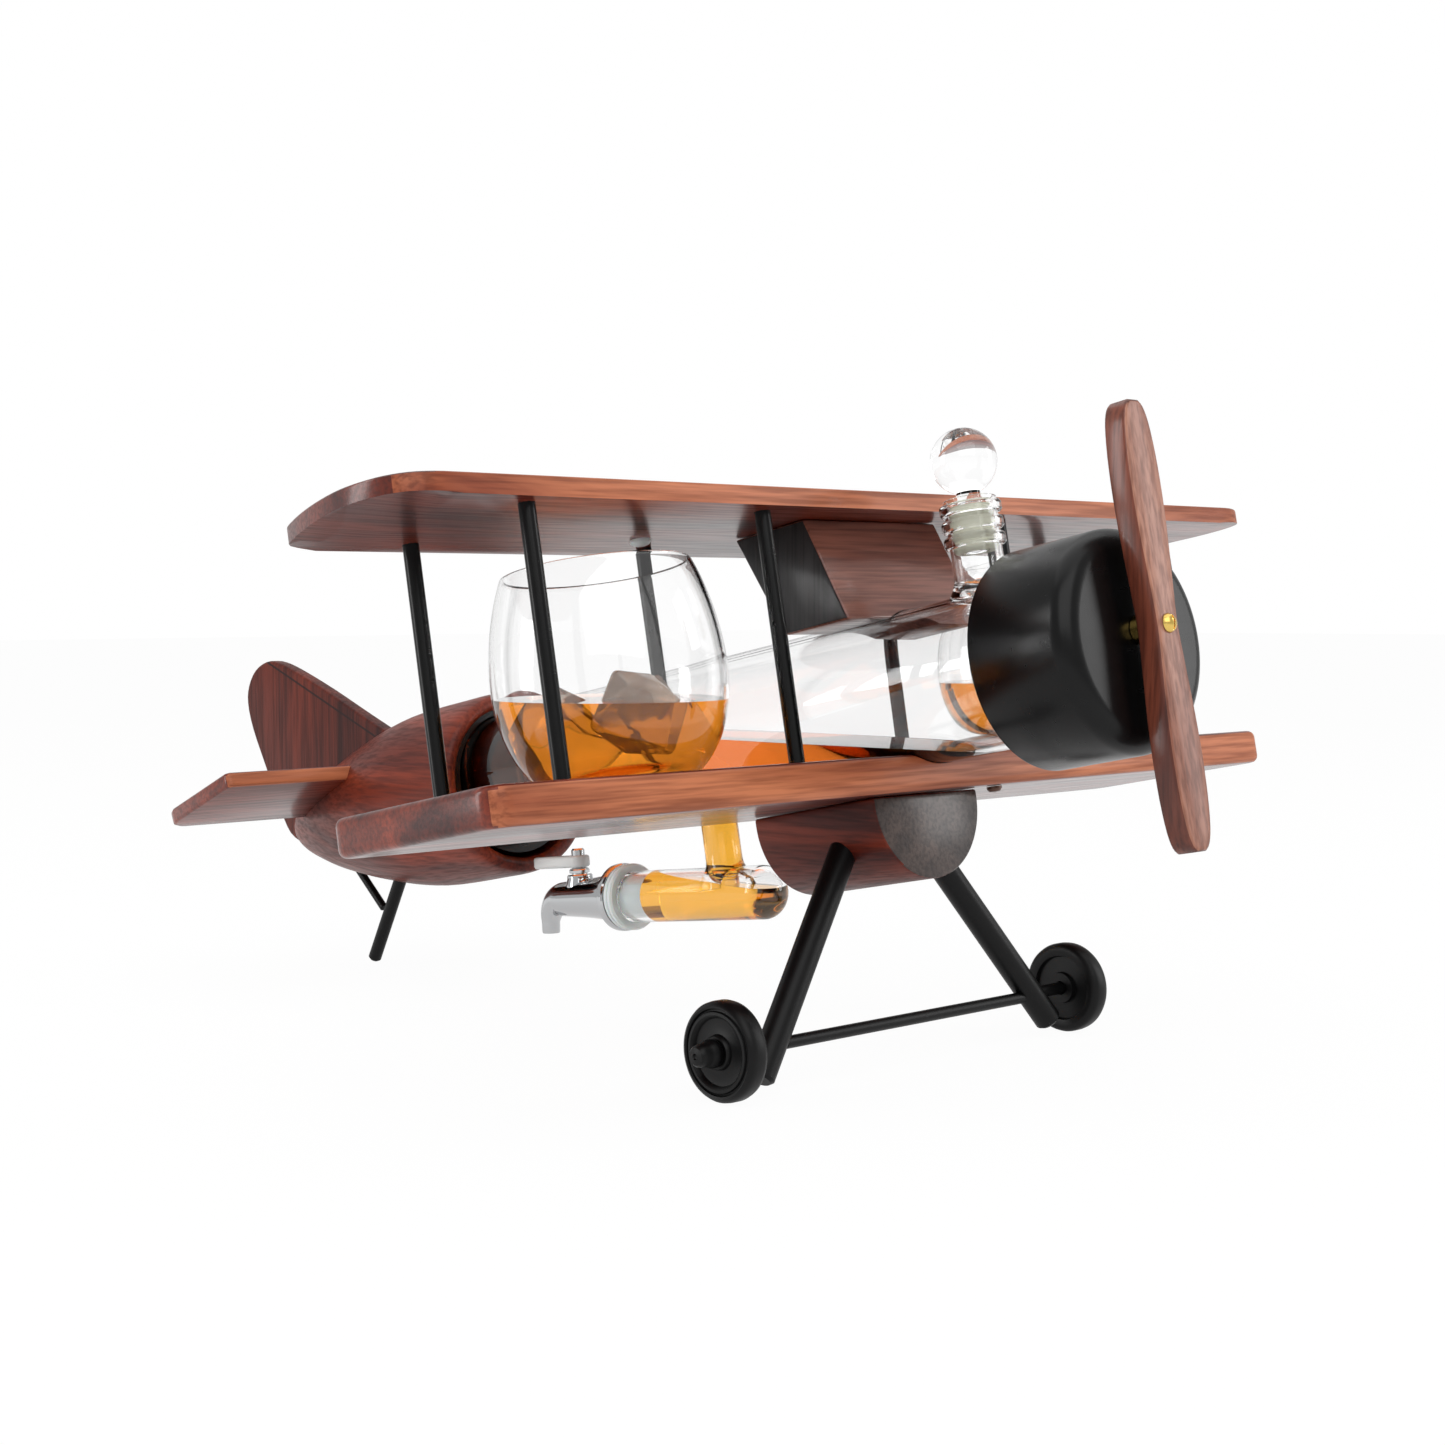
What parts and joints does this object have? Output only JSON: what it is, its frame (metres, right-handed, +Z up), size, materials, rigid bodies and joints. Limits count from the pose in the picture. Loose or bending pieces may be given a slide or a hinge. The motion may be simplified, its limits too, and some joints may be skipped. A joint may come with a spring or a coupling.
{
  "type": "biplane scale model",
  "caption": "Wooden biplane on wheels and a tail skid, with a glass decanter with tap for a fuselage and a stemless tumbler on each side of its lower wing.",
  "frame": {"origin": "centre of the bounding box in plan, at floor level under the wheels and tail skid", "axes": "+X across the span to the plane's left, +Y aft along the floor, +Z up; the plane stands nose-up at rest"},
  "size_m": [0.481, 0.6, 0.2505],
  "materials": {
    "mahogany": "reddish-brown stain under satin-gloss lacquer",
    "black_paint": "satin black paint on turned wood",
    "clear_glass": "clear blown glass",
    "chrome": "polished",
    "brass": "polished",
    "silicone": "translucent milky silicone",
    "white_plastic": "pale plastic",
    "dark_screw": "dull, dark brown"
  },
  "bodies": {
    "airframe": {"axle_peg_left": "black_paint", "axle_peg_right": "black_paint", "belly_block": "mahogany", "cabane_block": "mahogany", "cowling": "black_paint", "decanter": "clear_glass", "gear_leg_left": "black_paint", "gear_leg_right": "black_paint", "glass_pad_left": "silicone", "glass_pad_right": "silicone", "lower_wing": "mahogany", "propeller_screw": "brass", "propeller_washer": "brass", "spreader_rod": "black_paint", "stabilizer_left": "mahogany", "stabilizer_right": "mahogany", "strut_left_front_inner": "black_paint", "strut_left_front_outer": "black_paint", "strut_left_rear_inner": "black_paint", "strut_left_rear_outer": "black_paint", "strut_right_front_inner": "black_paint", "strut_right_front_outer": "black_paint", "strut_right_rear_inner": "black_paint", "strut_right_rear_outer": "black_paint", "tail_cone": "mahogany", "tail_fin": "mahogany", "tail_liner": "black_paint", "tail_skid": "black_paint", "tail_skid_brace": "black_paint", "tap_body": "chrome", "tap_bung": "silicone", "tap_flange": "chrome", "upper_wing": "mahogany", "wing_screw": "dark_screw"},
    "propeller": {"propeller": "mahogany"},
    "wheel_right": {"wheel_right": "black_paint"},
    "wheel_left": {"wheel_left": "black_paint"},
    "stopper": {"stopper_ball": "clear_glass", "stopper_seal": "silicone"},
    "tumbler_right": {"tumbler_right": "clear_glass"},
    "tumbler_left": {"tumbler_left": "clear_glass"},
    "tap_handle": {"tap_spindle": "chrome", "tap_lever": "white_plastic"}
  },
  "joints": [
    {"name": "propeller_spin", "type": "hinge", "parent": "airframe", "child": "propeller", "pos_m": [0, -0.28054, 0.17098], "axis": [0, -0.9821, 0.1882], "continuous": true},
    {"name": "wheel_right_spin", "type": "hinge", "parent": "airframe", "child": "wheel_right", "pos_m": [-0.0995, -0.16487, 0.01849], "axis": [1, 0, 0], "continuous": true},
    {"name": "wheel_left_spin", "type": "hinge", "parent": "airframe", "child": "wheel_left", "pos_m": [0.0995, -0.16487, 0.01849], "axis": [1, 0, 0], "continuous": true},
    {"name": "stopper_lift", "type": "slide", "parent": "airframe", "child": "stopper", "axis": [0, 0.1882, 0.9821], "range_m": [0, 0.045]},
    {"name": "tumbler_right_slide_out", "type": "slide", "parent": "airframe", "child": "tumbler_right", "axis": [0, -0.9821, 0.1882], "range_m": [0, 0.11]},
    {"name": "tumbler_left_slide_out", "type": "slide", "parent": "airframe", "child": "tumbler_left", "axis": [0, -0.9821, 0.1882], "range_m": [0, 0.11]},
    {"name": "tap_turn", "type": "hinge", "parent": "airframe", "child": "tap_handle", "pos_m": [0, 0.03136, 0.04727], "axis": [0, 0.1105, 0.9939], "range_deg": [-90, 90]}
  ]
}
